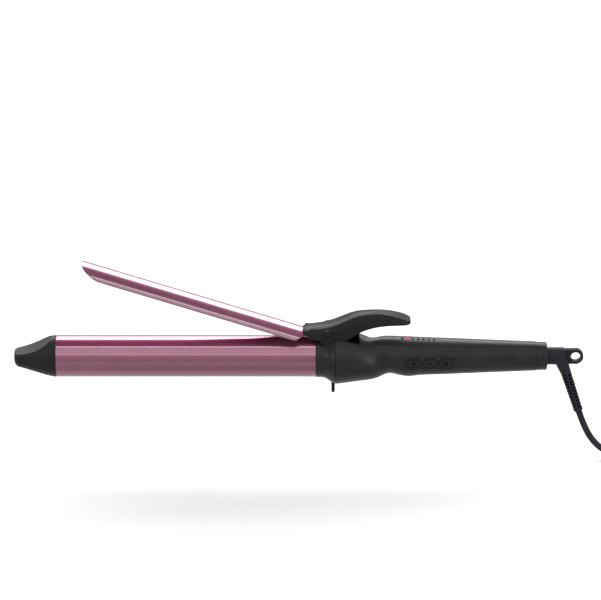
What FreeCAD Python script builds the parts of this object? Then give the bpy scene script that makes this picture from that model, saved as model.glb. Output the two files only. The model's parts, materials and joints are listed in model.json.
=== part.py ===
import FreeCAD, Part
import math
import os

from FreeCAD import Vector

# Clamp-type curling wand, in millimetres. +X runs along the axis from the barrel's tip to the
# cord, +Z is the lever side, and the buttons face -Y. The origin is on the axis, at the front
# end of the hand grip, where the barrel collar meets the handle.
# The shapes are at rest with the clamp held open, the stand out and the cord hanging.

# ---- driving dimensions ----
BARREL_R = 16.0
BARREL_WALL = 1.0
BARREL_X0, BARREL_X1 = -212.3, -15.0
TIP_X0 = -244.6
TIP_X1 = BARREL_X0 - 0.2
GRIP_X1 = 153.0
CAP_X1 = 161.5
SHELL_WALL = 2.2
SLOT_X1 = 18.0
COLLAR_R = 16.25
SEAM_X = -0.4
FLARE_R = 21.5

HINGE = Vector(-5.0, 0.0, 19.0)
CLAMP_OPEN_DEG = 18.0
PIN_R, PIN_HALF = 1.5, 10.0
PLATE_R_IN, PLATE_R_OUT = 16.5, 17.2
PLATE_HALF_DEG = 49.5
PLATE_X0, PLATE_X1 = -200.0, -9.7

BUTTON_X = (59.6, 71.8, 84.0)
BUTTON_LONG, BUTTON_TALL = 10.3, 6.2
PANEL_X0, PANEL_X1, PANEL_TALL = 52.6, 91.6, 9.4
LIGHT_X0, LIGHT_PITCH, LIGHT_COUNT, LIGHT_LIT, LIGHT_R = 50.9, 4.06, 7, 1, 0.95
LIGHT_Y = -1.8

STAND_X, STAND_PIVOT_Z, STAND_FOOT_Z, STAND_HALF, WIRE_R = -1.5, -18.0, -27.6, 9.0, 1.4

STEM_R = 6.7
BOOT_TOP_X, BOOT_TILT_DEG, BOOT_LONG = 171.8, 18.4, 48.6
BOOT_R0, BOOT_R1 = 4.35, 3.5
LUG_X, LUG_R, LUG_HOLE_R, LUG_HALF = 183.3, 6.0, 3.65, 2.0

CORD_R = 2.5
CORD_LONG = 1800.0
FLOOR_Z = -84.0
HANK_LONG, HANK_R, HANK_LAYERS = 35.0, 32.5, 3
HANK_X, HANK_LIFT = 296.0, 1.3
X_AXIS, Y_AXIS, Z_AXIS = Vector(1, 0, 0), Vector(0, 1, 0), Vector(0, 0, 1)


# ---- small helpers ----
def box(x0, x1, y0, y1, z0, z1):
    return Part.makeBox(x1 - x0, y1 - y0, z1 - z0, Vector(x0, y0, z0))


def rod(start, end, radius):
    """A round bar from one point to another."""
    along = end.sub(start)
    return Part.makeCylinder(radius, along.Length, start, along)


def tube_x(x0, x1, r_out, r_in):
    """A tube, or a ring, on the wand's axis."""
    outer = Part.makeCylinder(r_out, x1 - x0, Vector(x0, 0, 0), X_AXIS)
    return outer.cut(Part.makeCylinder(r_in, x1 - x0, Vector(x0, 0, 0), X_AXIS))


def turned(edges):
    """A solid of revolution about X, from edges of a closed outline in the XZ plane."""
    face = Part.Face(Part.Wire(edges))
    return face.revolve(Vector(0, 0, 0), X_AXIS, 360)


def lines(points):
    """Straight edges through (x, z) points."""
    spots = [Vector(x, 0, z) for x, z in points]
    return [Part.LineSegment(a, b).toShape() for a, b in zip(spots, spots[1:])]


def curve(points):
    """One smooth edge through (x, z) points."""
    spline = Part.BSplineCurve()
    spline.interpolate([Vector(x, 0, z) for x, z in points])
    return spline.toShape()


def arc(start, middle, end):
    """An arc through three (x, z) points."""
    spots = [Vector(x, 0, z) for x, z in (start, middle, end)]
    return Part.Arc(*spots).toShape()


def pill(x, z, long, tall, y0, y1):
    """A bar along Y with a stadium outline."""
    r = tall / 2
    half = long / 2 - r
    body = box(x - half, x + half, y0, y1, z - r, z + r)
    ends = [Part.makeCylinder(r, y1 - y0, Vector(x + s * half, y0, z), Y_AXIS) for s in (-1, 1)]
    return body.fuse(ends[0]).fuse(ends[1]).removeSplitter()


def opened(shape):
    """Turn a shape modelled with the clamp shut to the stored, open position."""
    moved = shape.copy()
    moved.rotate(HINGE, Y_AXIS, CLAMP_OPEN_DEG)
    return moved


def resample(stations, count):
    """As many stations as asked, evenly spaced along smooth curves through the ones given."""
    spots = [0.0]
    for a, b in zip(stations, stations[1:]):
        spots.append(spots[-1] + math.dist(a, b))
    width = len(stations[0])
    curves = []
    for first in range(0, width, 3):
        padded = [(list(s) + [0.0, 0.0])[first:first + 3] for s in stations]
        spline = Part.BSplineCurve()
        spline.interpolate(Points=[Vector(*p) for p in padded], Parameters=spots)
        curves.append(spline)
    fresh = []
    for i in range(count):
        spot = spots[-1] * i / (count - 1)
        values = [v for spline in curves for v in spline.value(spot)]
        fresh.append(tuple(values[:width]))
    return fresh


def skinned(sections):
    """A closed solid with a smooth skin through closed outlines."""
    return Part.makeLoft(sections, True, False, False, 3)


def save(name, *shapes):
    shape = shapes[0] if len(shapes) == 1 else Part.makeCompound(list(shapes))
    shape.exportStep("parts/" + name + ".step")
    print(name, len(shape.Solids), shape.isValid(), round(shape.Volume, 1))


def grip_radius(x):
    """Outer radius of the straight, tapered grip."""
    return 15.3 - 0.0402 * (x - 50.0)


# ---- barrel, tip and heater ----
def make_cool_tip():
    outline = [
        arc((TIP_X0, 3.6), (-243.2, 7.1), (-239.6, 8.8)),
        Part.LineSegment(Vector(-239.6, 0, 8.8), Vector(-223.0, 0, 13.8)).toShape(),
        curve([(-223.0, 13.8), (-219.3, 14.85), (-216.0, 15.6), (TIP_X1, 15.95)]),
    ]
    outline += lines([(TIP_X1, 15.95), (TIP_X1, 14.85), (-204.0, 14.85), (-204.0, 12.6),
                      (-216.0, 12.6), (-224.0, 5.0), (-224.0, 0.0), (TIP_X0, 0.0), (TIP_X0, 3.6)])
    scoop_r = 48.0
    scoop = Part.makeCylinder(scoop_r, 60, Vector(-247.4, -30, 51.8), Y_AXIS)
    save("cool_tip", turned(outline).cut(scoop))
    save("tip_heat_shield", tube_x(-203.8, -202.6, 14.8, 2.0))


def make_barrel():
    r_in = BARREL_R - BARREL_WALL
    lip = 0.35
    outline = lines([(BARREL_X0, r_in), (BARREL_X0, BARREL_R - lip)])
    outline.append(arc((BARREL_X0, BARREL_R - lip), (BARREL_X0 + 0.1, BARREL_R - 0.1),
                       (BARREL_X0 + lip, BARREL_R)))
    outline += lines([(BARREL_X0 + lip, BARREL_R), (BARREL_X1, BARREL_R), (BARREL_X1, r_in),
                      (BARREL_X0, r_in)])
    barrel = turned(outline)
    rivets = []
    for side in (-1, 1):
        way = Vector(0, side * math.sin(math.radians(15)), math.cos(math.radians(15)))
        foot = Vector(-18.5, 0, 0).add(way * 13.4)
        barrel = barrel.cut(rod(foot, foot.add(way * 4), 1.0))
        rivets.append(rod(foot, foot.add(way * 2.55), 1.0))
    save("barrel_tube", barrel)
    save("barrel_rivets", *rivets)
    return rivets


def make_heater():
    x0, x1 = -185.0, -75.0
    for name, sign in (("heat_spreader_upper", 1), ("heat_spreader_lower", -1)):
        half_space = box(x0, x1, -16, 16, *sorted((sign * 3.4, sign * 16)))
        skin = tube_x(x0, x1, 14.85, 12.85).common(box(x0, x1, -16, 16, *sorted((sign * 1.9, sign * 16))))
        web = box(x0, x1, -13.5, 13.5, *sorted((sign * 1.9, sign * 3.4)))
        web = web.common(Part.makeCylinder(14.0, x1 - x0, Vector(x0, 0, 0), X_AXIS))
        rib = box(x0, x1, -0.9, 0.9, *sorted((sign * 3.0, sign * 13.5)))
        save(name, skin.fuse(web).fuse(rib.common(half_space)).removeSplitter())
    save("heating_element", box(-172, -88, -5.5, 5.5, -0.7, 1.2))
    save("element_insulator_upper", box(-174, -86, -7, 7, 1.2, 1.9))
    save("element_insulator_lower", box(-174, -86, -7, 7, -1.9, -0.7))
    # a bowed leaf beside the element, which presses the two spreaders apart
    leaf = Part.Arc(Vector(-172, 9, 1.5), Vector(-130, 9, -1.85), Vector(-88, 9, 1.5)).toShape()
    save("spreader_spring", leaf.extrude(Vector(0, 3.4, 0)).extrude(Vector(0, 0, 0.35)))
    bead = Part.makeCylinder(1.3, 5, Vector(-133, 3.0, 4.8), X_AXIS)
    save("temperature_sensor", bead)
    save("sensor_leads", rod(Vector(-128, 2.4, 4.8), Vector(4, 2.4, 4.8), 0.45),
         rod(Vector(-128, 3.6, 4.8), Vector(4, 3.6, 4.8), 0.45))
    fuse_x0, fuse_x1 = -62.0, -50.0
    save("thermal_fuse", rod(Vector(fuse_x0, -3.2, 0.3), Vector(fuse_x1, -3.2, 0.3), 1.9))
    save("heater_leads", rod(Vector(-88, 3.2, 0.3), Vector(2.2, 3.2, 0.3), 0.8),
         rod(Vector(-88, -3.2, 0.3), Vector(fuse_x0, -3.2, 0.3), 0.8),
         rod(Vector(fuse_x1, -3.2, 0.3), Vector(2.2, -3.2, 0.3), 0.8))


# ---- collar, hinge and stand ----
def lever_slot(x0, x1, floor_z):
    """The flat-bottomed recess that the thumb lever sits in."""
    return box(x0, x1, -11.3, 11.3, floor_z, 40)


def make_collar(rivets):
    outline = lines([(-24, 13.0), (-24, 14.85), (-14.9, 14.85), (-14.9, COLLAR_R), (-11.2, COLLAR_R)])
    outline.append(curve([(-11.2, COLLAR_R), (-9.0, 16.5), (-6.9, 17.3), (-4.6, 18.75), (-2.4, 20.3),
                          (SEAM_X, FLARE_R)]))
    # a groove shows at the seam, in front of a flat face that meets the handle
    outline += lines([(SEAM_X, FLARE_R), (SEAM_X, FLARE_R - 1.2), (0, FLARE_R - 1.2), (0, 7.5),
                      (-6.0, 7.5), (-6.0, 13.0), (-24, 13.0)])
    collar = turned(outline)
    collar = collar.cut(lever_slot(-14.4, 1, 14.6))
    cheek_room = Part.makeCylinder(7.9, 2.8, Vector(HINGE.x, 8.5, HINGE.z), Y_AXIS)
    collar = collar.cut(cheek_room)
    collar = collar.cut(cheek_room.mirror(Vector(0, 0, 0), Y_AXIS))
    for side in (-1, 1):
        y0, y1 = sorted((side * 4.6, side * 7.6))
        ear = Part.makeCylinder(4.2, y1 - y0, Vector(HINGE.x, y0, HINGE.z), Y_AXIS)
        ear = ear.fuse(box(HINGE.x - 4.2, HINGE.x + 4.2, y0, y1, 12.5, HINGE.z))
        collar = collar.fuse(ear)
        foot = sorted((side * (STAND_HALF - WIRE_R - 0.2), side * (STAND_HALF + WIRE_R + 0.2)))
        collar = collar.cut(box(-14, 0, foot[0], foot[1], -23, STAND_PIVOT_Z + WIRE_R + 0.2))
        pivot = sorted((side * 3.8, side * (STAND_HALF + WIRE_R + 0.2)))
        collar = collar.cut(box(STAND_X - WIRE_R, 0, pivot[0], pivot[1],
                                STAND_PIVOT_Z - WIRE_R, STAND_PIVOT_Z + WIRE_R))
        collar = collar.cut(rod(Vector(-5.5, side * 10.4, 0), Vector(0, side * 10.4, 0), 1.0))
    collar = collar.cut(rod(Vector(HINGE.x, -12, HINGE.z), Vector(HINGE.x, 12, HINGE.z), PIN_R))
    for rivet in rivets:
        collar = collar.cut(rivet)
    save("barrel_collar", collar.removeSplitter())
    pin = rod(Vector(HINGE.x, -PIN_HALF, HINGE.z), Vector(HINGE.x, PIN_HALF, HINGE.z), PIN_R)
    save("hinge_pin", pin)


def make_clamp_spring():
    """A close-wound torsion spring round the pin, with a leg on the collar and one under the lever."""
    r_in, valley_r, crest_r, pitch, turns, leg_r, leg = 2.2, 2.9, 3.15, 0.95, 8, 0.38, 8.5
    half = pitch * turns / 2
    spots = [Vector(r_in, -half, 0), Vector(valley_r, -half, 0)]
    outline = [Part.LineSegment(*spots).toShape()]
    for i in range(turns):
        y = -half + pitch * i
        outline.append(Part.Arc(Vector(valley_r, y, 0), Vector(crest_r, y + pitch / 2, 0),
                                Vector(valley_r, y + pitch, 0)).toShape())
    outline.append(Part.LineSegment(Vector(valley_r, half, 0), Vector(r_in, half, 0)).toShape())
    outline.append(Part.LineSegment(Vector(r_in, half, 0), spots[0]).toShape())
    spring = Part.Face(Part.Wire(outline)).revolve(Vector(0, 0, 0), Y_AXIS, 360)
    leg_z, leg_y = 2.55, half - 0.5
    low_leg = rod(Vector(0.3, -leg_y, -leg_z), Vector(leg, -leg_y, -leg_z - 0.4), leg_r)
    high_leg = rod(Vector(0.3, leg_y, leg_z), Vector(leg, leg_y, leg_z + 1.3), leg_r)
    spring = spring.fuse(low_leg).fuse(high_leg)
    spring.translate(HINGE)
    save("clamp_spring", spring)


def make_stand():
    """A U of bent wire that drops from the collar and folds forward under it."""
    bend = 3.0
    foot_z = STAND_FOOT_Z + WIRE_R
    y = STAND_HALF
    k = bend * (1 - math.sqrt(0.5))
    spots = [(-4.0, STAND_PIVOT_Z), (-y, STAND_PIVOT_Z), (-y, foot_z), (y, foot_z), (y, STAND_PIVOT_Z),
             (4.0, STAND_PIVOT_Z)]
    p = [Vector(STAND_X, a, b) for a, b in spots]
    tight = 1.4
    kt = tight * (1 - math.sqrt(0.5))
    edges = [
        Part.LineSegment(p[0], p[1] + Vector(0, tight, 0)).toShape(),
        Part.Arc(p[1] + Vector(0, tight, 0), p[1] + Vector(0, kt, -kt), p[1] + Vector(0, 0, -tight)).toShape(),
        Part.LineSegment(p[1] + Vector(0, 0, -tight), p[2] + Vector(0, 0, bend)).toShape(),
        Part.Arc(p[2] + Vector(0, 0, bend), p[2] + Vector(0, k, k), p[2] + Vector(0, bend, 0)).toShape(),
        Part.LineSegment(p[2] + Vector(0, bend, 0), p[3] + Vector(0, -bend, 0)).toShape(),
        Part.Arc(p[3] + Vector(0, -bend, 0), p[3] + Vector(0, -k, k), p[3] + Vector(0, 0, bend)).toShape(),
        Part.LineSegment(p[3] + Vector(0, 0, bend), p[4] + Vector(0, 0, -tight)).toShape(),
        Part.Arc(p[4] + Vector(0, 0, -tight), p[4] + Vector(0, -kt, -kt), p[4] + Vector(0, -tight, 0)).toShape(),
        Part.LineSegment(p[4] + Vector(0, -tight, 0), p[5]).toShape(),
    ]
    section = Part.Wire(Part.Circle(p[0], Y_AXIS, WIRE_R - 0.06).toShape())
    save("stand", Part.Wire(edges).makePipeShell([section], True, False))


# ---- clamp: plate and thumb lever ----
def make_clamp_plate():
    shell = tube_x(PLATE_X0, PLATE_X1, PLATE_R_OUT, PLATE_R_IN)
    y_edge = PLATE_R_OUT * math.sin(math.radians(PLATE_HALF_DEG))
    x0, x1 = PLATE_X0, PLATE_X1
    nose, flat = 18.0, 3.0
    neck_x0, neck_x1, neck_y = -30.5, -21.5, 8.6
    half = [Vector(x0, flat, 0), Vector(x0 + nose, y_edge, 0), Vector(neck_x0, y_edge, 0),
            Vector(neck_x1, neck_y, 0), Vector(x1, neck_y, 0)]
    bulge = Vector(x0 + nose * 0.27, flat + (y_edge - flat) * 0.70, 0)
    rounding = Part.BSplineCurve()
    rounding.interpolate(Points=[half[0], bulge, half[1]], InitialTangent=Y_AXIS, FinalTangent=X_AXIS)
    sway = Part.BSplineCurve()
    sway.interpolate(Points=[half[2], Vector((neck_x0 + neck_x1) / 2, (y_edge + neck_y) / 2, 0), half[3]],
                     InitialTangent=X_AXIS, FinalTangent=X_AXIS)
    side = [rounding.toShape(), Part.LineSegment(half[1], half[2]).toShape(),
            sway.toShape(), Part.LineSegment(half[3], half[4]).toShape()]
    other = [edge.mirror(Vector(0, 0, 0), Y_AXIS) for edge in side]
    front = Part.LineSegment(Vector(x0, -flat, 0), half[0]).toShape()
    back = Part.LineSegment(half[4], Vector(x1, -neck_y, 0)).toShape()
    outline = Part.Wire(Part.__sortEdges__(side + [back, front] + other))
    cutter = Part.Face(outline).extrude(Vector(0, 0, 30))
    plate = shell.common(cutter)
    screws = []
    for y in (-3.4, 3.4):
        z = math.sqrt(PLATE_R_IN ** 2 - y ** 2)
        x = -11.9
        head = Part.makeCylinder(1.7, 0.9, Vector(x, y, z - 0.95), Z_AXIS)
        shank = Part.makeCylinder(1.0, 4.2, Vector(x, y, z - 0.1), Z_AXIS)
        plate = plate.cut(Part.makeCylinder(1.0, 5, Vector(x, y, z - 2), Z_AXIS))
        plate = plate.cut(head)
        screws.append(opened(head.fuse(shank)))
    save("clamp_plate", opened(plate))
    save("clamp_screws", *screws)
    return screws


LEVER_STATIONS = (
    # x, half width, underside z, top z
    (-24.6, 6.6, 21.4, 23.9),
    (-22.4, 9.3, 20.6, 24.5),
    (-17.8, 10.3, 18.4, 25.3),
    (-11.0, 11.0, 16.9, 26.0),
    (-4.0, 11.0, 17.2, 27.7),
    (2.0, 11.0, 17.4, 30.0),
    (7.0, 10.9, 17.3, 32.2),
    (13.8, 10.4, 20.6, 34.9),
    (20.6, 9.9, 24.2, 36.3),
    (27.5, 9.5, 26.5, 36.9),
    (34.4, 9.2, 27.8, 37.0),
    (43.5, 9.0, 28.6, 36.1),
    (50.0, 8.5, 28.6, 34.4),
    (54.8, 7.0, 28.5, 32.5),
    (57.2, 4.6, 28.9, 31.2),
)
# the thumb pad, flat across, along the top of the lever's end
PAD_LINE = ((24.0, 37.6), (30.0, 36.95), (36.5, 36.35), (43.5, 35.2), (50.0, 33.35), (54.8, 31.5), (60.0, 29.0))


def lever_section(x, half, low, top, inset=0.0, roof=0.0, drop=0.0):
    """A flat-bottomed, crowned outline across the lever, shrunk by inset for its hollow."""
    w = half - inset
    zt = top - roof
    zb = low - drop
    tall = zt - zb
    shoulder = min(4.2, 0.6 * tall)
    crown = [(-w, zb + 0.3 * tall), (-w + 0.07 * shoulder, zt - 1.0 * shoulder),
             (-w + 0.42 * shoulder, zt - 0.45 * shoulder), (-0.45 * w, zt - 0.07 * shoulder), (0, zt)]
    crown += [(-a, b) for a, b in reversed(crown[:-1])]
    spline = Part.BSplineCurve()
    spline.interpolate([Vector(x, a, b) for a, b in crown])
    left, right = crown[0], crown[-1]
    corners = [Vector(x, right[0], right[1]), Vector(x, w, zb), Vector(x, -w, zb), Vector(x, left[0], left[1])]
    edges = [spline.toShape()]
    edges += [Part.LineSegment(a, b).toShape() for a, b in zip(corners, corners[1:])]
    return Part.Wire(edges)


def make_lever(screws):
    stations = resample(LEVER_STATIONS, 30)
    body = skinned([lever_section(*s) for s in stations])
    hollow_stations = [s for s in stations if -5.0 < s[0] < 46.0]
    hollow = skinned([lever_section(*s, inset=2.0, roof=2.4, drop=3.0) for s in hollow_stations])
    lever = body.cut(hollow)
    pad = [curve(PAD_LINE)] + lines([PAD_LINE[-1], (60.0, 45.0), (24.0, 45.0), PAD_LINE[0]])
    pad_cut = Part.Face(Part.Wire(pad)).extrude(Vector(0, 30, 0))
    lever = lever.cut(pad_cut.translated(Vector(0, -15, 0)))
    front_room = Part.makeCylinder(5.6, 17.6, Vector(HINGE.x, -8.8, HINGE.z), Y_AXIS)
    lever = lever.cut(front_room)
    for side in (-1, 1):
        y0, y1 = sorted((side * 9.0, side * 11.0))
        cheek = Part.makeCylinder(6.2, y1 - y0, Vector(HINGE.x, y0, HINGE.z), Y_AXIS)
        corner = box(HINGE.x - 6.2, HINGE.x, y0, y1, HINGE.z - 6.2, HINGE.z)
        corner = corner.common(Part.makeCylinder(7.6, y1 - y0, Vector(HINGE.x, y0, HINGE.z), Y_AXIS))
        cheek = cheek.fuse(corner)
        lever = lever.fuse(cheek)
    seat = opened(Part.makeCylinder(PLATE_R_OUT, 60, Vector(-60, 0, 0), X_AXIS).fuse(
        box(-60, 0, -20, 20, -40, 6)))
    lever = lever.cut(seat.cut(box(-9, 40, -20, 20, -40, 60)))
    tail_room = opened(box(-12.5, -9.2, -8.8, 8.8, 10, 18.2))
    lever = lever.cut(tail_room)
    half = PIN_HALF + 0.1
    lever = lever.cut(rod(Vector(HINGE.x, -half, HINGE.z), Vector(HINGE.x, half, HINGE.z), PIN_R + 0.05))
    for screw in screws:
        lever = lever.cut(screw)
    save("thumb_lever", lever.removeSplitter())


# ---- handle ----
SHELL_STATIONS = (
    # where the outline crosses the top: x, r, and the underside: x, r; half width across
    (0.1, 21.5, 0.1, 21.5, 21.5),
    (4.5, 21.0, 7.0, 20.7, 20.9),
    (9.5, 20.3, 18.0, 19.2, 19.7),
    (15.0, 18.7, 25.5, 18.3, 18.5),
    (20.5, 16.5, 31.0, 17.3, 17.0),
    (24.5, 14.8, 36.0, 15.1, 15.0),
    (28.5, 14.05, 41.5, 12.95, 13.5),
    (33.5, 15.1, 47.5, 14.1, 14.6),
    (39.0, 15.6, 54.0, 15.45, 15.5),
    (52.0, 15.2, 62.0, 15.0, 15.1),
    (74.0, 14.35, 76.0, 14.25, 14.3),
    (100.0, 13.3, 100.0, 13.3, 13.3),
    (126.0, 12.25, 126.0, 12.25, 12.25),
    (GRIP_X1, 11.2, GRIP_X1, 11.2, 11.2),
)


RING_POINTS = 16


def shell_ring(top_x, top_r, low_x, low_r, half, inset=0.0):
    """Control points of an ellipse in a plane that leans from the top point to the underside point."""
    top = Vector(top_x, 0, top_r - inset)
    low = Vector(low_x, 0, -(low_r - inset))
    mid = (top + low) * 0.5
    # a cubic ring lies inside its control points by this factor
    grow = 6 / (4 + 2 * math.cos(2 * math.pi / RING_POINTS))
    up = (top - mid) * grow
    across = Vector(0, (half - inset) * grow, 0)
    angles = [2 * math.pi * i / RING_POINTS for i in range(RING_POINTS)]
    return [mid + up * math.cos(a) + across * math.sin(a) for a in angles]


def grip_solid(inset=0.0):
    """The grip's outer form, or its hollow when inset by the wall, closed by flat ends."""
    stations = resample(SHELL_STATIONS, 48)
    rings = [shell_ring(*s, inset=inset) for s in stations]
    spans = len(rings) - 3
    surface = Part.BSplineSurface()
    surface.buildFromPolesMultsKnots(
        rings, [4] + [1] * (spans - 1) + [4], [1] * (RING_POINTS + 1),
        list(range(spans + 1)), list(range(RING_POINTS + 1)), False, True, 3, 3)
    side = surface.toShape()
    rims = [edge for edge in side.Edges if not edge.isSeam(side)]
    caps = [Part.Face(Part.Wire(edge)) for edge in rims]
    skin = Part.makeShell([side] + caps)
    skin.sewShape()
    solid = Part.Solid(skin)
    return solid if solid.Volume > 0 else Part.Solid(skin.reversed())


def make_handle(outer):
    inner = grip_solid(SHELL_WALL)
    floor_z = 15.0
    inner = inner.common(box(2.2, GRIP_X1, -30, 30, -30, 30))
    inner = inner.cut(box(0, SLOT_X1 + 1.5, -30, 30, floor_z - SHELL_WALL, 30))
    shell = outer.cut(inner)
    shell = shell.cut(tube_x(-1, 3, 13.5, 0.01).fuse(Part.makeCylinder(5, 4, Vector(-1, 0, 0), X_AXIS)))
    shell = shell.cut(lever_slot(-1, SLOT_X1, floor_z))
    shell = shell.cut(tube_x(GRIP_X1 - 2.2, GRIP_X1 + 1, 9.1, 1.0))
    panel_x = (PANEL_X0 + PANEL_X1) / 2
    opening = pill(panel_x, 0, PANEL_X1 - PANEL_X0 + 0.8, PANEL_TALL + 0.8, -20, -5)
    shell = shell.cut(opening)
    for i in range(LIGHT_COUNT):
        x = LIGHT_X0 + i * LIGHT_PITCH
        shell = shell.cut(rod(Vector(x, LIGHT_Y, 8), Vector(x, LIGHT_Y, 20), LIGHT_R + 0.03))
    save("handle_shell", shell.removeSplitter())
    return panel_x


def grip_cone(x0, x1, proud):
    """The grip's own taper, grown or shrunk, for parts that follow its surface."""
    return Part.makeCone(grip_radius(x0) + proud, grip_radius(x1) + proud, x1 - x0, Vector(x0, 0, 0), X_AXIS)


def make_buttons(outer, panel_x):
    bezel = pill(panel_x, 0, PANEL_X1 - PANEL_X0, PANEL_TALL, -20, -12.0)
    bezel = bezel.common(outer)
    names = ("button_plus", "button_minus", "button_power")
    for name, x in zip(names, BUTTON_X):
        bezel = bezel.cut(pill(x, 0, BUTTON_LONG + 1.0, BUTTON_TALL + 1.0, -20, -5))
        cap = pill(x, 0, BUTTON_LONG, BUTTON_TALL, -20, -11.9)
        cap = cap.common(grip_cone(x - 8, x + 8, 0.35))
        rim = pill(x, 0, BUTTON_LONG + 1.7, BUTTON_TALL + 1.7, -11.9, -11.2)
        stem = rod(Vector(x, -11.3, 0), Vector(x, -10.55, 0), 1.7)
        save(name, cap.fuse(rim).fuse(stem).removeSplitter())
    save("button_bezel", bezel)


def make_lights():
    lenses = []
    chips = []
    for i in range(LIGHT_COUNT):
        x = LIGHT_X0 + i * LIGHT_PITCH
        pipe = rod(Vector(x, LIGHT_Y, 11.1), Vector(x, LIGHT_Y, 20), LIGHT_R)
        lenses.append(pipe.common(grip_cone(x - 3, x + 3, 0.06)))
        chips.append(box(x - 0.9, x + 0.9, LIGHT_Y - 0.6, LIGHT_Y + 0.6, 10.1, 10.9))
    save("indicator_lenses", *[lens for i, lens in enumerate(lenses) if i != LIGHT_LIT])
    save("indicator_lens_lit", lenses[LIGHT_LIT])
    save("indicator_leds", *chips)
    save("indicator_board", box(47.5, 79.0, LIGHT_Y - 3.0, LIGHT_Y + 3.0, 9.1, 10.1))


def make_electronics():
    flange = tube_x(0.1, 2.5, 13.2, 6.6)
    spine = box(2.4, 127.0, -3.6, -2.0, -8.0, 8.0)
    seat = box(46.0, 80.0, -3.6, 0.6, 7.5, 9.1)
    chassis = flange.fuse(spine).fuse(seat)
    screws = []
    for side in (-1, 1):
        y = side * 10.4
        chassis = chassis.cut(rod(Vector(0, y, 0), Vector(3, y, 0), 1.1))
        head = Part.makeCylinder(2.0, 1.4, Vector(2.5, y, 0), X_AXIS)
        screws.append(head.fuse(rod(Vector(-5.5, y, 0), Vector(2.6, y, 0), 1.0)))
    save("chassis_screws", *screws)
    board = box(46.0, 122.0, -5.6, -4.2, -7.6, 7.6)
    posts = [rod(Vector(x, -4.2, 4.6), Vector(x, -3.6, 4.6), 2.0) for x in (49.5, 118.5)]
    fixings = []
    for x, post in zip((49.5, 118.5), posts):
        chassis = chassis.fuse(post)
        hole = rod(Vector(x, -5.7, 4.6), Vector(x, -2.0, 4.6), 0.9)
        chassis = chassis.cut(hole)
        board = board.cut(hole)
        fixings.append(rod(Vector(x, -6.6, 4.6), Vector(x, -5.6, 4.6), 1.6).fuse(
            rod(Vector(x, -5.7, 4.6), Vector(x, -2.2, 4.6), 0.9)))
    save("chassis", chassis.removeSplitter())
    save("control_board", board)
    save("board_screws", *fixings)
    switches = [box(x - 3, x + 3, -9.0, -5.6, -3, 3).fuse(rod(Vector(x, -9.8, 0), Vector(x, -9.0, 0), 1.6))
                for x in BUTTON_X]
    save("tact_switches", *switches)
    save("filter_capacitor", box(93.0, 103.0, -8.6, -5.6, -5.8, -0.6))
    save("control_chip", box(93.5, 101.5, -6.9, -5.6, 0.6, 6.4))
    save("triac", box(107.5, 114.0, -8.4, -5.6, -4.6, 1.4))
    save("supply_leads", *[rod(Vector(122.0, -4.9, z), Vector(129.0, -4.9, z), 0.8) for z in (-6, 6)])


def make_tail():
    """End cap, swivel socket with its brushes, and the drum that turns in it."""
    rim_r = 10.9
    outline = lines([(153.2, 9.6), (153.2, rim_r), (160.1, rim_r - 0.2)])
    outline.append(arc((160.1, rim_r - 0.2), (161.1, rim_r - 0.6), (CAP_X1, rim_r - 1.6)))
    outline += lines([(CAP_X1, rim_r - 1.6), (CAP_X1, 7.0), (154.6, 7.0), (154.6, 8.4), (151.0, 8.4),
                      (151.0, 9.05), (153.2, 9.05), (153.2, 9.6)])
    save("end_cap", turned(outline))
    socket = tube_x(129.0, 150.9, 8.95, 6.2)
    brushes = []
    for x in (135.0, 142.0):
        ring = tube_x(x, x + 3.0, 6.15, 5.3)
        brushes.append(ring.common(box(x, x + 3, 0, 8, -3, 3)))
    save("swivel_socket", socket)
    save("brush_contacts", *brushes)
    drum = Part.makeCylinder(4.4, 27.0, Vector(131.0, 0, 0), X_AXIS)
    drum = drum.fuse(Part.makeCylinder(6.15, 2.0, Vector(131.0, 0, 0), X_AXIS))
    drum = drum.fuse(Part.makeCylinder(6.15, 3.0, Vector(147.6, 0, 0), X_AXIS))
    rings = [tube_x(x - 0.4, x + 3.4, 5.25, 4.4) for x in (135.0, 142.0)]
    save("swivel_drum", drum.removeSplitter())
    save("slip_rings", *rings)


# ---- cord boot, cord and plug ----
def boot_point(along, out=0.0):
    """A point on the strain relief's centreline, or out to its +X side."""
    tilt = math.radians(BOOT_TILT_DEG)
    return Vector(BOOT_TOP_X + along * math.sin(tilt) + out * math.cos(tilt), 0,
                  -along * math.cos(tilt) + out * math.sin(tilt))


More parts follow.
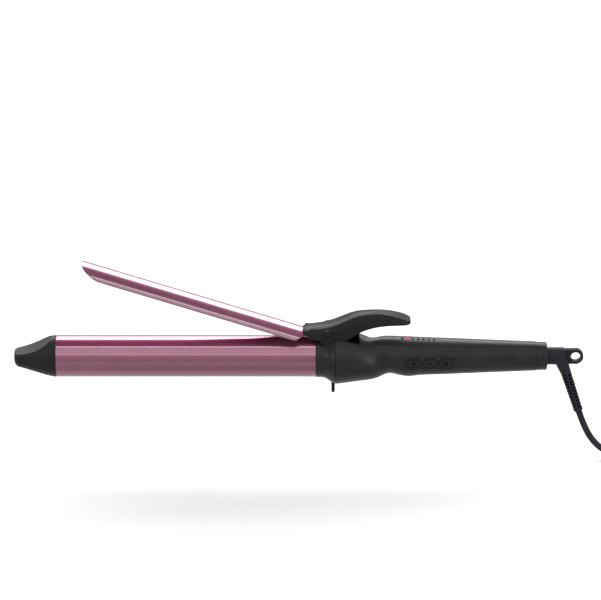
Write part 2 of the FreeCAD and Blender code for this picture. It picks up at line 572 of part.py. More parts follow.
def make_boot():
    """An elbow: a round stem out of the cap, a leaning strain relief with slots, and a hanging lug."""
    down = boot_point(1) - boot_point(0)
    stem = Part.makeCylinder(STEM_R, 32.0, Vector(150.8, 0, 0), X_AXIS)
    flange = Part.makeCylinder(8.1, 2.6, Vector(151.2, 0, 0), X_AXIS)
    stem = stem.cut(box(150, 151.2, -10, 10, -10, 10)).fuse(flange)
    trim = Part.makeBox(40, 40, 80, Vector(0, -20, -40))
    trim.rotate(Vector(0, 0, 0), Y_AXIS, -BOOT_TILT_DEG)
    trim.translate(boot_point(0, BOOT_R0 - 0.05))
    stem = stem.cut(trim)
    cone = Part.makeCone(BOOT_R0, BOOT_R1, BOOT_LONG, boot_point(0), down)
    tip_round = Part.makeCone(BOOT_R1 + 1.2, BOOT_R1 - 0.9, 2.1, boot_point(BOOT_LONG - 2.1), down)
    low_end = box(150, 200, -10, 10, -60, boot_point(BOOT_LONG - 4).z)
    low_end = low_end.cut(Part.makeCylinder(9, BOOT_LONG - 1.6, boot_point(0), down)).cut(tip_round)
    cone = cone.cut(low_end)
    gusset = Part.makeCone(BOOT_R0 + 1.7, BOOT_R0, 10.5, boot_point(2.0), down)
    gusset = gusset.common(box(150, BOOT_TOP_X + 2, -10, 10, -20, 0))
    lug = box(167, LUG_X, -LUG_HALF, LUG_HALF, -LUG_R + 0.1, LUG_R - 0.1)
    lug = lug.fuse(Part.makeCylinder(LUG_R, 2 * LUG_HALF, Vector(LUG_X, -LUG_HALF, 0), Y_AXIS))
    boot = stem.fuse(cone).fuse(gusset).fuse(lug)
    boot = boot.cut(Part.makeCylinder(LUG_HOLE_R, 20, Vector(LUG_X, -10, 0), Y_AXIS))
    boot = boot.cut(Part.makeCylinder(4.4, 7.3, Vector(150.8, 0, 0), X_AXIS))
    pitch, wide, deep, spine, count = 2.75, 1.55, 1.5, 0.8, 11
    for side, first in ((-1, 14.2), (1, 15.6)):
        for i in range(count):
            along = first + pitch * i
            radius = BOOT_R0 + (BOOT_R1 - BOOT_R0) * along / BOOT_LONG
            groove = Part.makeCylinder(radius + 1, wide, boot_point(along), down)
            groove = groove.cut(Part.makeCylinder(radius - deep, wide, boot_point(along), down))
            keep = Part.makeBox(12, 24, 40, Vector(side * spine if side > 0 else -spine - 12, -12, -20))
            keep.rotate(Vector(0, 0, 0), Y_AXIS, -BOOT_TILT_DEG)
            keep.translate(boot_point(along))
            boot = boot.cut(groove.common(keep))
    save("cord_boot", boot.removeSplitter())
    return boot


def run_and_arcs(points):
    """Straight runs joined by tangent arcs, as large as the shorter of each pair of runs allows."""
    edges = []
    last = points[0]
    length = 0.0
    radii = []
    for before, here, after in zip(points, points[1:], points[2:]):
        back = (before - here)
        ahead = (after - here)
        run = min(back.Length, ahead.Length)
        turn = math.pi - back.getAngle(ahead)
        cut = 0.45 * run
        radius = cut / math.tan(turn / 2)
        radii.append(round(radius, 1))
        back = back * (1 / back.Length)
        ahead = ahead * (1 / ahead.Length)
        start = here + back * cut
        end = here + ahead * cut
        bisector = back + ahead
        bisector = bisector * (1 / bisector.Length)
        middle = here + bisector * (radius / math.cos(turn / 2) - radius)
        edges.append(Part.LineSegment(last, start).toShape())
        edges.append(Part.Arc(start, middle, end).toShape())
        length += (start - last).Length + radius * turn
        last = end
    edges.append(Part.LineSegment(last, points[-1]).toShape())
    length += (points[-1] - last).Length
    return edges, length, radii


def make_tube(name, points, radius):
    spots = [Vector(*p) for p in points]
    edges, length, radii = run_and_arcs(spots)
    section = Part.Wire(Part.Circle(spots[0], spots[1] - spots[0], radius).toShape())
    tube = Part.Wire(edges).makePipeShell([section], True, False)
    print(name, "radii", radii, "length", round(length, 1), "volume ratio",
          round(tube.Volume / (math.pi * radius ** 2 * length), 4))
    save(name, tube)
    return length


CORD_Z = FLOOR_Z + CORD_R
HANK_Z0 = FLOOR_Z + HANK_LIFT
HANK_Z1 = HANK_Z0 + 2 * CORD_R * HANK_LAYERS
HANK_SIDE = -(HANK_R - CORD_R)
PLUG_Y, PLUG_Z, PLUG_TAIL_X = 50.0, FLOOR_Z + 7.0, 311.0
CORD_ROUTE = (
    (187.17, 0, -46.21),
    (192.16, 0, -61.20),
    (202.0, -1.5, -75.4),
    (217.0, -8.0, CORD_Z + 0.1),
    (231.5, -18.0, CORD_Z + 0.2),
    (246.0, -26.2, CORD_Z + 0.6),
    (262.0, -30.4, HANK_Z0 + CORD_R),
    (278.0, HANK_SIDE, HANK_Z0 + CORD_R),
)
TAIL_ROUTE = (
    (313.5, HANK_SIDE, HANK_Z1 - CORD_R),
    (330.5, -28.0, -71.3),
    (346.0, -18.5, -75.0),
    (355.0, -2.0, -79.2),
    (355.0, 17.0, -81.2),
    (349.5, 37.5, -80.0),
    (331.0, PLUG_Y, PLUG_Z),
    (PLUG_TAIL_X, PLUG_Y, PLUG_Z),
)


def make_hank():
    """The put-away cord: a long coil of three layers, held by a strap."""
    half = HANK_LONG / 2
    tall = HANK_Z1 - HANK_Z0
    hank = box(HANK_X - half, HANK_X + half, -HANK_R, HANK_R, HANK_Z0, HANK_Z1)
    for side in (-1, 1):
        hank = hank.fuse(Part.makeCylinder(HANK_R, tall, Vector(HANK_X + side * half, 0, HANK_Z0)))
    save("cord_hank", hank.removeSplitter())
    strap, wide = 1.2, 14.0
    x0, x1 = HANK_X - wide / 2, HANK_X + wide / 2
    y = HANK_R + 0.05
    tie = box(x0, x1, -y - strap, y + strap, FLOOR_Z, HANK_Z1 + strap)
    save("hank_tie", tie.cut(box(x0, x1, -y, y, HANK_Z0, HANK_Z1)))


def make_plug():
    """A two-blade plug that lies flat beside the hank, with its own tapered sleeve."""
    sleeve_long, body_long = 22.0, 30.0
    x1 = PLUG_TAIL_X - sleeve_long
    sleeve = Part.makeCone(5.4, 3.4, sleeve_long, Vector(x1, PLUG_Y, PLUG_Z), X_AXIS)
    x0 = x1 - body_long
    body = box(x0, x1, PLUG_Y - 12, PLUG_Y + 12, PLUG_Z - 7, PLUG_Z + 7)
    body = body.makeFillet(3.5, [e for e in body.Edges if abs(e.tangentAt(e.FirstParameter).x) > 0.9])
    taper = Part.makeBox(40, 40, 40, Vector(0, 0, -20))
    for side in (-1, 1):
        wedge = taper.copy()
        wedge.rotate(Vector(0, 0, 0), Z_AXIS, -22 if side > 0 else -68)
        wedge.translate(Vector(x1 - 14, PLUG_Y + side * 12, PLUG_Z))
        body = body.cut(wedge)
    save("plug_body", body.fuse(sleeve).removeSplitter())
    save("plug_blades", *[box(x0 - 16.5, x0, PLUG_Y + s * 6.35 - 0.75, PLUG_Y + s * 6.35 + 0.75,
                              PLUG_Z - 3.15, PLUG_Z + 3.15) for s in (-1, 1)])


def make_cord():
    lead = make_tube("cord", CORD_ROUTE, CORD_R)
    tail = make_tube("cord_tail", TAIL_ROUTE, CORD_R)
    print("length left for the hank", round(CORD_LONG - lead - tail, 1))


os.makedirs("parts", exist_ok=True)
make_cool_tip()
barrel_rivets = make_barrel()
make_heater()
make_collar(barrel_rivets)
make_clamp_spring()
make_stand()
clamp_screws = make_clamp_plate()
make_lever(clamp_screws)
grip = grip_solid()
panel_centre = make_handle(grip)
make_buttons(grip, panel_centre)
make_lights()
make_electronics()
make_tail()
make_boot()
make_cord()
make_hank()
make_plug()
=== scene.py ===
import json
import math

import bmesh
import bpy
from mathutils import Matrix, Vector


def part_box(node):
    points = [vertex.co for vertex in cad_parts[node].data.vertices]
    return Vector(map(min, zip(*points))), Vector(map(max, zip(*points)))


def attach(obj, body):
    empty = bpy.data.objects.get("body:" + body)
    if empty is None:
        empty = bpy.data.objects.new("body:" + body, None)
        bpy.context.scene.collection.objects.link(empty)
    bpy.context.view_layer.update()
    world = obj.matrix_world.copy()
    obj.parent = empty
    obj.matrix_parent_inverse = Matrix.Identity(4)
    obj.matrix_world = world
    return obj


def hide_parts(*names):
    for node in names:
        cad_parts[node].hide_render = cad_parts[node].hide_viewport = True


# A clamp-type curling wand, in metres, in the CAD frame: +X from the barrel's tip to the cord,
# +Z the thumb lever's side, and the buttons on -Y.

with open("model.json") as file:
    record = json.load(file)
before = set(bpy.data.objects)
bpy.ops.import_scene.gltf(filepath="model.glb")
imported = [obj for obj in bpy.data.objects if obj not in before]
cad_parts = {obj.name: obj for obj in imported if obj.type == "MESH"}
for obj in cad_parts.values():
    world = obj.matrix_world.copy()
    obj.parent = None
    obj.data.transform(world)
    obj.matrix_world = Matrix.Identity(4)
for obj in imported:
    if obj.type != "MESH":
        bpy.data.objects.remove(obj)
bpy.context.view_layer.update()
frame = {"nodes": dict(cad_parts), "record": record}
NODES = frame["nodes"]
MM = 0.001


# ---- camera ----
CAMERA_LENS = 210.0
CAMERA_SENSOR = 36.0
CAMERA_REACH = 20.0
CAMERA_TARGET = Vector((-0.0264, 0.0166, 0.0392))
CAMERA_ELEVATION = 23.0
CAMERA_DISTANCE = 2.674


def add_camera():
    """A long lens on the buttons' side, which looks down on the wand."""
    data = bpy.data.cameras.new("camera")
    data.lens = CAMERA_LENS
    data.sensor_width = CAMERA_SENSOR
    data.clip_end = CAMERA_REACH
    camera = bpy.data.objects.new("camera", data)
    bpy.context.scene.collection.objects.link(camera)
    elevation = math.radians(CAMERA_ELEVATION)
    out = Vector((0, -math.cos(elevation), math.sin(elevation)))
    camera.location = CAMERA_TARGET + out * CAMERA_DISTANCE
    camera.rotation_euler = (math.radians(90.0) - elevation, 0, 0)
    bpy.context.scene.camera = camera


add_camera()
bpy.context.scene.view_settings.view_transform = "Standard"


# ---- materials ----
# the Mix node's colour sockets, which share their names with its other kinds
MIX_A, MIX_B, MIX_RESULT = 6, 7, 2


class Nodes:
    """A material's node tree, with short ways to add and join nodes."""

    def __init__(self, name):
        self.material = bpy.data.materials.new(name)
        self.material.use_nodes = True
        self.tree = self.material.node_tree
        self.shader = self.tree.nodes["Principled BSDF"]
        self.place = self.add("ShaderNodeTexCoord").outputs["Object"]

    def add(self, kind, **settings):
        node = self.tree.nodes.new(kind)
        for key, value in settings.items():
            setattr(node, key, value)
        return node

    def join(self, out, into):
        self.tree.links.new(out, into)

    def set(self, **values):
        """Set numbers and colours on the shader's own inputs."""
        for key, value in values.items():
            self.shader.inputs[key.replace("_", " ")].default_value = value

    def drive(self, **outputs):
        """Join other nodes' outputs to the shader's inputs."""
        for key, out in outputs.items():
            self.join(out, self.shader.inputs[key.replace("_", " ")])

    def noise(self, scale, detail=4.0, roughness=0.55, stretch=None):
        """Noise whose scale is in the frame's metres, so that it's the same size on every piece."""
        place = self.place
        if stretch:
            mapping = self.add("ShaderNodeMapping")
            mapping.inputs["Scale"].default_value = stretch
            self.join(place, mapping.inputs["Vector"])
            place = mapping.outputs["Vector"]
        node = self.add("ShaderNodeTexNoise")
        node.inputs["Scale"].default_value = scale
        node.inputs["Detail"].default_value = detail
        node.inputs["Roughness"].default_value = roughness
        self.join(place, node.inputs["Vector"])
        return node.outputs["Fac"]

    def spread(self, fac, low, high, start=0.3, end=0.7):
        """A number that goes from low to high as fac goes from start to end."""
        node = self.add("ShaderNodeMapRange")
        node.inputs["From Min"].default_value = start
        node.inputs["From Max"].default_value = end
        node.inputs["To Min"].default_value = low
        node.inputs["To Max"].default_value = high
        self.join(fac, node.inputs["Value"])
        return node.outputs["Result"]

    def shades(self, fac, dark, light):
        """A colour that goes from dark to light over the middle of fac's range."""
        ramp = self.add("ShaderNodeValToRGB")
        ramp.color_ramp.elements[0].position = 0.3
        ramp.color_ramp.elements[0].color = (*dark, 1)
        ramp.color_ramp.elements[1].position = 0.7
        ramp.color_ramp.elements[1].color = (*light, 1)
        self.join(fac, ramp.inputs["Fac"])
        return ramp.outputs["Color"]

    def calculate(self, operation, *values):
        """One number worked out from other nodes' outputs."""
        node = self.add("ShaderNodeMath", operation=operation)
        for socket, value in zip(node.inputs, values):
            self.join(value, socket)
        return node.outputs["Value"]

    def vector(self, operation, place, constant=(0, 0, 0), result="Vector"):
        """What a vector operation makes of a place and a constant vector."""
        node = self.add("ShaderNodeVectorMath", operation=operation)
        self.join(place, node.inputs[0])
        node.inputs[1].default_value = constant
        return node.outputs[result]

    def masked(self, mask, colour, inside):
        """A colour that gives way to the inside one as the mask goes from 0 to 1."""
        mix = self.add("ShaderNodeMix", data_type="RGBA")
        self.join(mask, mix.inputs["Factor"])
        self.join(colour, mix.inputs[MIX_A])
        mix.inputs[MIX_B].default_value = (*inside, 1)
        return mix.outputs[MIX_RESULT]

    def bump(self, height, distance, strength):
        node = self.add("ShaderNodeBump")
        node.inputs["Strength"].default_value = strength
        node.inputs["Distance"].default_value = distance
        self.join(height, node.inputs["Height"])
        self.drive(Normal=node.outputs["Normal"])


def glossy_metal(name, dark, light):
    """Titanium-ceramic coated metal: a tinted metal base under a hard clear glaze."""
    n = Nodes(name)
    n.set(Metallic=1.0, Specular_Tint=(0.55, 0.14, 0.30, 1))
    n.set(Coat_Weight=1.0, Coat_IOR=1.68, Coat_Roughness=0.045)
    n.drive(Base_Color=n.shades(n.noise(90.0, 3.0), dark, light))
    n.drive(Roughness=n.spread(n.noise(140.0, 5.0), 0.40, 0.46))
    n.bump(n.noise(1800.0, 2.0), 0.000002, 0.3)
    return n.material


# how deep the grain is on spark-finished, smooth and polished plastic
SPARK_GRAIN, SMOOTH_GRAIN, POLISHED_GRAIN = 0.00003, 0.00001, 0.000002


def plastic_tone(n, dark, light):
    """The small changes of tone that every moulded material has."""
    return n.shades(n.noise(60.0, 4.0), dark, light)


def plastic_finish(n, roughness, vary=0.05, grain=2600.0, depth=SPARK_GRAIN, strength=0.6):
    """Small changes of gloss, and fine grain."""
    n.drive(Roughness=n.spread(n.noise(420.0, 4.0), roughness - vary, roughness + vary))
    n.bump(n.noise(grain, 3.0, 0.6), depth, strength)


def moulded(name, dark, light, roughness, specular=0.05, **finish):
    """Moulded plastic or rubber."""
    n = Nodes(name)
    n.set(Specular_IOR_Level=specular)
    n.drive(Base_Color=plastic_tone(n, dark, light))
    plastic_finish(n, roughness, **finish)
    return n.material


# the recess under the thumb lever: half its width, where it ends, its floor, the widths over which its
# edges fade, and the colour of the shade painted in it
RECESS_HALF, RECESS_X1, RECESS_FLOOR = 0.0114, 0.0183, 0.0143
RECESS_SIDE_FADE, RECESS_END_FADE = 0.0001, 0.0002
RECESS_PAINTED_SHADE = (0.0015, 0.0015, 0.0015)


def plastic_with_painted_recess_shade(name, dark, light, roughness, specular):
    """The grip's soft-touch plastic, with painted shade inside the lever's recess, where it is dull and
    near-black.
    """
    n = Nodes(name)
    parts = n.add("ShaderNodeSeparateXYZ")
    n.join(n.place, parts.inputs["Vector"])
    side = n.calculate("ABSOLUTE", parts.outputs["Y"])
    inside = n.spread(side, 1.0, 0.0, RECESS_HALF, RECESS_HALF + RECESS_SIDE_FADE)
    ahead = n.spread(parts.outputs["X"], 1.0, 0.0, RECESS_X1, RECESS_X1 + RECESS_END_FADE)
    above = n.spread(parts.outputs["Z"], 0.0, 1.0, RECESS_FLOOR, RECESS_FLOOR + RECESS_END_FADE)
    # painted shade: inside the recess the colour turns near-black and the specular reflection goes to
    # nothing, standing in for the lever's shadow
    mask = n.calculate("MULTIPLY", n.calculate("MULTIPLY", inside, ahead), above)
    n.drive(Base_Color=n.masked(mask, plastic_tone(n, dark, light), RECESS_PAINTED_SHADE))
    n.drive(Specular_IOR_Level=n.spread(mask, specular, 0.0, 0.0, 1.0))
    plastic_finish(n, roughness, depth=SMOOTH_GRAIN, strength=0.5)
    return n.material


# the strain relief: where its centreline starts, its way down, its length and its radii at both ends
BOOT_LEAN = math.radians(18.4)
BOOT_TOP = Vector((0.1718, 0, 0))
BOOT_WAY = Vector((math.sin(BOOT_LEAN), 0, -math.cos(BOOT_LEAN)))
BOOT_LONG, BOOT_R0, BOOT_R1 = 0.0486, 0.00435, 0.0035
# how far down it the slots start, over a short fade, how deep in them the painted shade starts and is
# full, and the painted shade's colour
SLOTS_FROM, SLOTS_FULL = 0.0125, 0.0135
SHADE_FROM, SHADE_FULL = 0.0001, 0.0005
SLOT_PAINTED_SHADE = (0.0004, 0.0004, 0.0005)


def rubber_with_painted_slot_shade(name, dark, light, roughness):
    """The boot's rubber, with painted shade down in its slots, which turn near-black."""
    n = Nodes(name)
    n.set(Specular_IOR_Level=0.04)
    offset = n.vector("SUBTRACT", n.place, BOOT_TOP)
    along = n.vector("DOT_PRODUCT", offset, BOOT_WAY, "Value")
    from_line = n.vector("LENGTH", n.vector("CROSS_PRODUCT", offset, BOOT_WAY), result="Value")
    surface = n.spread(along, BOOT_R0, BOOT_R1, 0.0, BOOT_LONG)
    slotted = n.spread(along, 0.0, 1.0, SLOTS_FROM, SLOTS_FULL)
    deep = n.spread(n.calculate("SUBTRACT", surface, from_line), 0.0, 1.0, SHADE_FROM, SHADE_FULL)
    # painted shade: deep in the slots the colour turns near-black
    mask = n.calculate("MULTIPLY", slotted, deep)
    n.drive(Base_Color=n.masked(mask, plastic_tone(n, dark, light), SLOT_PAINTED_SHADE))
    plastic_finish(n, roughness)
    return n.material


def metal(name, dark, light, roughness, stretch=(1, 1, 1)):
    """Bare metal with drawn or turned streaks."""
    n = Nodes(name)
    n.set(Metallic=1.0)
    n.drive(Base_Color=n.shades(n.noise(300.0, stretch=stretch), dark, light))
    n.drive(Roughness=n.spread(n.noise(800.0, stretch=stretch), roughness - 0.06, roughness + 0.06))
    n.bump(n.noise(2400.0, 2.0, stretch=stretch), 0.00001, 0.5)
    return n.material


def lit_lens(name, colour, strength):
    """A small clear lens with a lamp on behind it."""
    n = Nodes(name)
    n.set(Base_Color=(*colour, 1), Specular_IOR_Level=0.02)
    n.set(Emission_Color=(*colour, 1), Emission_Strength=strength)
    n.drive(Roughness=n.spread(n.noise(900.0), 0.25, 0.4))
    return n.material


def woven(name, dark, light):
    """A hook-and-loop strap: woven threads, with a nap."""
    n = Nodes(name)
    n.set(Roughness=0.9, Specular_IOR_Level=0.1, Sheen_Weight=0.04, Sheen_Roughness=0.4)
    wave = n.add("ShaderNodeTexWave")
    wave.inputs["Scale"].default_value = 420.0
    wave.inputs["Distortion"].default_value = 1.5
    n.join(n.place, wave.inputs["Vector"])
    n.drive(Base_Color=n.shades(wave.outputs["Fac"], dark, light))
    n.bump(wave.outputs["Fac"], 0.00025, 0.7)
    return n.material


MATERIALS = {
    "barrel_pink": glossy_metal("barrel_pink", (0.140, 0.030, 0.068), (0.155, 0.034, 0.076)),
    "clamp_pink": glossy_metal("clamp_pink", (0.135, 0.054, 0.084), (0.150, 0.060, 0.092)),
    "black_grip": plastic_with_painted_recess_shade("black_grip", (0.0085, 0.0085, 0.0088), (0.0120, 0.0120, 0.0124),
                                   0.34, 0.10),
    "black_tip": moulded("black_tip", (0.0080, 0.0080, 0.0080), (0.0115, 0.0115, 0.0115), 0.34),
    "black_lever": moulded("black_lever", (0.0085, 0.0085, 0.0085), (0.0115, 0.0115, 0.0115), 0.26,
                           specular=0.035, vary=0.01, depth=POLISHED_GRAIN),
    "panel_black": moulded("panel_black", (0.0125, 0.0125, 0.0127), (0.0150, 0.0150, 0.0152), 0.32,
                           depth=SMOOTH_GRAIN),
    "button_black": moulded("button_black", (0.0095, 0.0095, 0.0097), (0.0130, 0.0130, 0.0132), 0.44),
    "light_clear": moulded("light_clear", (0.0010, 0.0010, 0.0010), (0.0018, 0.0018, 0.0018), 0.30,
                           specular=0.0, depth=SMOOTH_GRAIN),
    "light_red": lit_lens("light_red", (0.50, 0.002, 0.018), 0.20),
    "boot_rubber": rubber_with_painted_slot_shade("boot_rubber", (0.0100, 0.0102, 0.0135), (0.0140, 0.0143, 0.0180), 0.40),
    "cord_black": moulded("cord_black", (0.0105, 0.0107, 0.0140), (0.0140, 0.0143, 0.0180), 0.42,
                          grain=1800.0),
    "plug_black": moulded("plug_black", (0.012, 0.012, 0.014), (0.018, 0.018, 0.020), 0.42),
    "tie_black": woven("tie_black", (0.003, 0.003, 0.0035), (0.012, 0.012, 0.013)),
    "wire_black": moulded("wire_black", (0.0040, 0.0040, 0.0042), (0.0065, 0.0065, 0.0067), 0.30,
                          depth=SMOOTH_GRAIN),
    "steel": metal("steel", (0.42, 0.42, 0.43), (0.62, 0.62, 0.63), 0.28),
    "brass": metal("brass", (0.62, 0.45, 0.18), (0.78, 0.60, 0.28), 0.24),
    "aluminium": metal("aluminium", (0.55, 0.55, 0.57), (0.72, 0.72, 0.74), 0.36, (0.1, 1, 1)),
    "inner_plastic": moulded("inner_plastic", (0.05, 0.05, 0.05), (0.08, 0.08, 0.08), 0.5),
    "board_green": moulded("board_green", (0.012, 0.07, 0.03), (0.02, 0.10, 0.045), 0.35),
    "ceramic": moulded("ceramic", (0.62, 0.60, 0.55), (0.74, 0.72, 0.67), 0.6),
    "lead_white": moulded("lead_white", (0.55, 0.54, 0.51), (0.66, 0.65, 0.62), 0.5),
}
SIGN_BLACK = moulded("icon_black", (0.0004, 0.0004, 0.0005), (0.0008, 0.0008, 0.0009), 0.30,
                     specular=0.0, depth=SMOOTH_GRAIN)

for subpart in frame["record"]["subparts"]:
    mesh = NODES[subpart["node"]].data
    mesh.materials.clear()
    mesh.materials.append(MATERIALS[subpart["material_slot"]])


# ---- making pieces ----
SHARP_ANGLE = math.radians(30.0)
BEVEL_ANGLE = math.radians(40.0)


def add_piece(name, mesh_or_curve, body, slot, material=None):
    """A piece that rides on a body, in its slot's material unless another one is given."""
    piece = bpy.data.objects.new(name, mesh_or_curve)
    bpy.context.scene.collection.objects.link(piece)
    mesh_or_curve.materials.append(material or MATERIALS[slot])
    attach(piece, body)
    return piece


def strip_mesh(name, strips, closed=False):
    """Strips of four-cornered rings, joined along their sides, and capped or closed into a loop."""
    mesh = bpy.data.meshes.new(name)
    bm = bmesh.new()
    for strip in strips:
        rings = [[bm.verts.new(corner) for corner in ring] for ring in strip]
        pairs = list(zip(rings, rings[1:]))
        if closed:
            pairs.append((rings[-1], rings[0]))
        for a, b in pairs:
            for i in range(4):
                bm.faces.new((a[i], a[(i + 1) % 4], b[(i + 1) % 4], b[i]))
        if not closed:
            bm.faces.new(rings[0])
            bm.faces.new(rings[-1])
    bmesh.ops.recalc_face_normals(bm, faces=bm.faces)
    bm.to_mesh(mesh)
    bm.free()
    for polygon in mesh.polygons:
        polygon.use_smooth = True
    mesh.set_sharp_from_angle(angle=SHARP_ANGLE)
    return mesh


def soften(piece, width):
    """Round a piece's sharp edges."""
    bevel = piece.modifiers.new("soft edges", "BEVEL")
    bevel.width = width
    bevel.segments = 3
    bevel.limit_method = "ANGLE"
    bevel.angle_limit = BEVEL_ANGLE


# ---- the cord, from the boot to the plug, in millimetres ----
CORD_R = 2.5
FLOOR_Z = -84.0
CORD_Z = FLOOR_Z + CORD_R
# the hank: its middle, half of its straight runs, the side where the cord enters and leaves it, its
# layers, how far it stands off the floor, and its underside and top
HANK_X, HANK_HALF, HANK_SIDE = 296.0, 17.5, -30.0
HANK_LAYERS, HANK_LIFT = 3, 1.3
HANK_Z0 = FLOOR_Z + HANK_LIFT
HANK_Z1 = HANK_Z0 + 2 * CORD_R * HANK_LAYERS
# its turns: points on each, turns in each full layer, the widest radius, and the last turn's radius;
# the curve cuts inside its points, so they stand a little further out
TURN_POINTS, LAYER_TURNS = 16, 3
WIDEST_R, LAST_R = 30.0, 28.6
OUTWARDS = 1.006
PLUG_Y, PLUG_Z = 50.0, FLOOR_Z + 7.0
LEAD = (
    (186.51, 0, -44.22),
    (192.16, 0, -61.20),
    (202.0, -1.5, -75.4),
    (217.0, -8.0, CORD_Z + 0.1),
    (231.5, -18.0, CORD_Z + 0.2),
    (246.0, -26.2, CORD_Z + 0.6),
    (262.0, -30.4, HANK_Z0 + CORD_R),
    (278.0, HANK_SIDE, HANK_Z0 + CORD_R),
)
TAIL = (
    (313.5, HANK_SIDE, HANK_Z1 - CORD_R),
    (330.5, -28.0, -71.3),
    (346.0, -18.5, -75.0),
    (355.0, -2.0, -79.2),
    (355.0, 17.0, -81.2),
    (349.5, 37.5, -80.0),
    (331.0, PLUG_Y, PLUG_Z),
    (310.0, PLUG_Y, PLUG_Z),
)


def hank_point(step, radius, z):
    """A point on a long oval turn. Step 0 is the middle of the near side, going towards +X."""
    half_turn = TURN_POINTS // 2
    half, local = divmod(step % TURN_POINTS, half_turn)
    side = 1 if half == 0 else -1
    if local == 0:
        return Vector((HANK_X, -side * radius, z))
    angle = math.radians(-90.0 + 180.0 * (local - 0.5) / (half_turn - 1))
    x = HANK_X + side * (HANK_HALF + radius * math.cos(angle))
    return Vector((x, side * radius * math.sin(angle), z))


def hank_points():
    """Three turns inwards on the floor, three outwards on top of them, and a last one over those."""
    heights = [HANK_Z0 + CORD_R * (1 + 2 * layer) for layer in range(HANK_LAYERS)]
    pitch = 2 * CORD_R
    narrowest = WIDEST_R - pitch * LAYER_TURNS
    points = []
    for step in range(1, (2 * LAYER_TURNS + 1) * TURN_POINTS + 1):
        turn = step / TURN_POINTS
        if turn < LAYER_TURNS:
            radius, height = WIDEST_R - pitch * turn, heights[0]
        elif turn < 2 * LAYER_TURNS:
            radius, height = narrowest + pitch * (turn - LAYER_TURNS), heights[1]
        else:
            radius, height = LAST_R, heights[2]
        points.append(hank_point(step, radius * OUTWARDS, height))
    return points


def add_cord():
    """The whole cord as one smooth curve: the lead, the hank's turns and the tail to the plug."""
    route = [Vector(p) for p in LEAD] + hank_points() + [Vector(p) for p in TAIL]
    curve = bpy.data.curves.new("power_cord", "CURVE")
    curve.dimensions = "3D"
    spline = curve.splines.new("NURBS")
    spline.points.add(len(route) - 1)
    for point, spot in zip(spline.points, route):
        point.co = (*(spot * MM), 1.0)
    spline.order_u = 3
    spline.use_endpoint_u = True
    spline.resolution_u = 8
    curve.bevel_depth = CORD_R * MM
    curve.bevel_resolution = 6
    curve.use_fill_caps = True
    cord = add_piece("power_cord", curve, "swivel", "cord_black")
    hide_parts("cord", "cord_tail", "cord_hank")
    return cord


# ---- the strap round the hank ----
STRAP_THICK, STRAP_CORNER, STRAP_EDGE = 0.0011, 0.0035, 0.0003
CORNER_STEPS = 8
# the lapped end: its rows across the top, the step between them, and how far in its edges are
LAP_ROWS, LAP_STEP, LAP_INSET = range(-3, 5), 0.004, 0.0005


def rounded_loop(half_y, half_z, corner):
    """Points and outward directions round a rectangle with rounded corners, in the YZ plane."""
    loop = []
    for quarter in range(4):
        side_y = 1 if quarter in (0, 3) else -1
        side_z = 1 if quarter in (0, 1) else -1
        middle = Vector((0, side_y * (half_y - corner), side_z * (half_z - corner)))
        for i in range(CORNER_STEPS + 1):
            angle = math.radians(90.0 * (quarter + i / CORNER_STEPS))
            way = Vector((0, math.cos(angle), math.sin(angle)))
            loop.append((middle + way * corner, way))
    return loop


def band(name, stretch, low_x, high_x, middle, closed):
    """A strap along (point, outward direction) pairs about a middle, from low_x to high_x."""
    corners = ((low_x, 0), (high_x, 0), (high_x, STRAP_THICK), (low_x, STRAP_THICK))
    rings = [[middle + spot + way * up + Vector((x, 0, 0)) for x, up in corners] for spot, way in stretch]
    strap = add_piece(name, strip_mesh(name, [rings], closed), "swivel", "tie_black")
    soften(strap, STRAP_EDGE)
    return strap


def add_tie():
    """A hook-and-loop strap round the hank, with its end lapped over the top."""
    low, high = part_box("hank_tie")
    middle = Vector((0, (low.y + high.y) / 2, (low.z + high.z) / 2))
    half_y = (high.y - low.y) / 2 - STRAP_THICK
    half_z = (high.z - low.z) / 2 - STRAP_THICK
    around = rounded_loop(half_y, half_z, STRAP_CORNER)
    strap = band("cord_tie", around, low.x, high.x, middle, True)
    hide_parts("hank_tie")
    up = Vector((0, 0, 1))
    over = [(Vector((0, LAP_STEP * i, high.z - middle.z)), up) for i in LAP_ROWS]
    lap = band("cord_tie_end", over, low.x + LAP_INSET, high.x - LAP_INSET, middle, False)
    return strap, lap


# ---- the signs on the buttons ----
# how far a sign stands out of its button's face and goes into it, its width and its lines' width
SIGN_PROUD, SIGN_DEEP = 0.0001, 0.00015
SIGN_WIDE, SIGN_LINE = 0.0030, 0.00065
# the power sign: its ring's middle and radius and the gap in it, and its bar's middle and length
RING_Z, RING_R, RING_GAP = -0.0001, 0.0014, 70.0
BAR_Z, BAR_LONG = 0.0010, 0.0017
BAR_ROWS, RING_ROWS = 6, 28


def cap_radius(x):
    """How far the buttons' faces stand from the wand's axis."""
    first, last = (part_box(name)[0] for name in ("button_plus", "button_power"))
    slope = (last.y - first.y) / (last.x - first.x)
    return -(first.y + slope * (x - first.x))


def on_face(x, z, proud):
    """A point over a button's rounded face."""
    r = cap_radius(x) + proud
    return Vector((x, -math.sqrt(r * r - z * z), z))


def add_sign(name, strips, body):
    """A thin raised sign on a button. Each strip is rows of (left, right) points across its face."""
    solid = []
    for strip in strips:
        solid.append([(on_face(*left, SIGN_PROUD), on_face(*right, SIGN_PROUD),
                       on_face(*right, -SIGN_DEEP), on_face(*left, -SIGN_DEEP)) for left, right in strip])
    add_piece(name, strip_mesh(name, solid), body, "button_black", SIGN_BLACK)


def bar(x, z, long_x, long_z):
    """A straight strip centred on (x, z), in rows along its longer side."""
    strip = []
    for i in range(BAR_ROWS + 1):
        t = i / BAR_ROWS - 0.5
        if long_x >= long_z:
            strip.append(((x + t * long_x, z - long_z / 2), (x + t * long_x, z + long_z / 2)))
        else:
            strip.append(((x - long_x / 2, z + t * long_z), (x + long_x / 2, z + t * long_z)))
    return strip


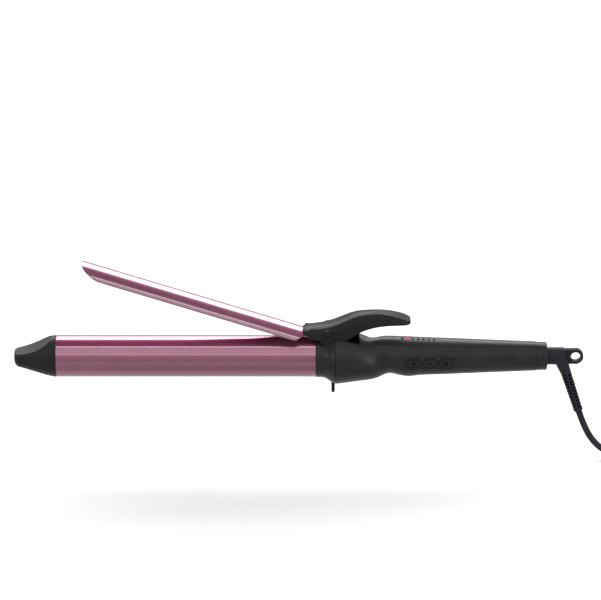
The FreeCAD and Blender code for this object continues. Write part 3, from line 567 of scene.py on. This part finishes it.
def open_ring(x, z, radius, wide, gap):
    """A ring centred on (x, z), with a gap of so many degrees at its top."""
    inner, outer = radius - wide / 2, radius + wide / 2
    strip = []
    for i in range(RING_ROWS + 1):
        angle = math.radians(90.0 + gap / 2 + (360.0 - gap) * i / RING_ROWS)
        c, s = math.cos(angle), math.sin(angle)
        strip.append(((x + inner * c, z + inner * s), (x + outer * c, z + outer * s)))
    return strip


def middle_x(name):
    """The middle of a node along the wand."""
    low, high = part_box(name)
    return (low.x + high.x) / 2


def add_signs():
    """Plus, minus and power, one on each button."""
    plus, minus, power = (middle_x(name) for name in ("button_plus", "button_minus", "button_power"))
    across = bar(plus, 0, SIGN_WIDE, SIGN_LINE)
    arm = (SIGN_WIDE - SIGN_LINE) / 2
    arm_z = (SIGN_WIDE + SIGN_LINE) / 4
    arms = [bar(plus, z, SIGN_LINE, arm) for z in (arm_z, -arm_z)]
    add_sign("icon_plus", [across, *arms], "button_plus")
    add_sign("icon_minus", [bar(minus, 0, SIGN_WIDE, SIGN_LINE)], "button_minus")
    ring = open_ring(power, RING_Z, RING_R, SIGN_LINE, RING_GAP)
    add_sign("icon_power", [ring, bar(power, BAR_Z, SIGN_LINE, BAR_LONG)], "button_power")


cord = add_cord()
tie, tie_end = add_tie()
add_signs()


# ---- floor and light ----
FLOOR_SIZE = 6.0
STRIP_LONG = 5.0


def add_floor():
    """A plain sheet of pale paper that everything lies on."""
    mesh = bpy.data.meshes.new("floor")
    bm = bmesh.new()
    bmesh.ops.create_grid(bm, x_segments=8, y_segments=8, size=FLOOR_SIZE)
    bm.to_mesh(mesh)
    bm.free()
    floor = bpy.data.objects.new("floor", mesh)
    bpy.context.scene.collection.objects.link(floor)
    floor.location = (0, 0, FLOOR_Z * MM)
    n = Nodes("floor_paper")
    n.set(Roughness=0.9, Specular_IOR_Level=0.1)
    n.drive(Base_Color=n.shades(n.noise(3.0, 2.0), (0.46, 0.46, 0.46), (0.48, 0.48, 0.48)))
    mesh.materials.append(n.material)


def add_world():
    """A studio that is bright near the horizon and dark overhead."""
    world = bpy.data.worlds.new("studio")
    world.use_nodes = True
    tree = world.node_tree
    way = tree.nodes.new("ShaderNodeTexCoord")
    parts = tree.nodes.new("ShaderNodeSeparateXYZ")
    ramp = tree.nodes.new("ShaderNodeValToRGB")
    tree.links.new(way.outputs["Generated"], parts.inputs["Vector"])
    tree.links.new(parts.outputs["Z"], ramp.inputs["Fac"])
    ramp.color_ramp.elements[0].position = 0.30
    ramp.color_ramp.elements[0].color = (0.95, 0.95, 0.95, 1)
    ramp.color_ramp.elements[1].position = 0.80
    ramp.color_ramp.elements[1].color = (0.10, 0.10, 0.10, 1)
    background = tree.nodes["Background"]
    tree.links.new(ramp.outputs["Color"], background.inputs["Color"])
    bpy.context.scene.world = world


def add_softbox(name, place, aim, wide, tall, glow):
    """A rectangular softbox that faces a point; glow is its brightness."""
    data = bpy.data.lights.new(name, "AREA")
    data.shape = "RECTANGLE"
    data.size, data.size_y = wide, tall
    data.energy = glow * math.pi * wide * tall
    light = bpy.data.objects.new(name, data)
    bpy.context.scene.collection.objects.link(light)
    light.location = place
    light.rotation_euler = (Vector(place) - Vector(aim)).to_track_quat("Z", "Y").to_euler()


def add_strip(name, angle, distance, wide, glow):
    """A long softbox along X, at degrees about the wand's axis: 0 is the camera's side, 90 above."""
    angle = math.radians(angle)
    place = Vector((0, -math.cos(angle), math.sin(angle))) * distance
    add_softbox(name, place, (0, 0, 0), STRIP_LONG, wide, glow)


add_floor()
add_world()
add_strip("back_softbox", 138.0, 1.6, 0.95, 9.0)
add_strip("line_light", 73.0, 1.6, 0.20, 5.5)
add_strip("front_softbox", 46.0, 2.2, 1.68, 2.0)
add_softbox("right_softbox", (1.3, -1.0, 0.30), (0.05, 0, 0), 0.6, 0.7, 9.0)
add_softbox("left_softbox", (-1.6, -1.0, 0.45), (-0.1, 0, 0), 0.6, 0.7, 6.0)
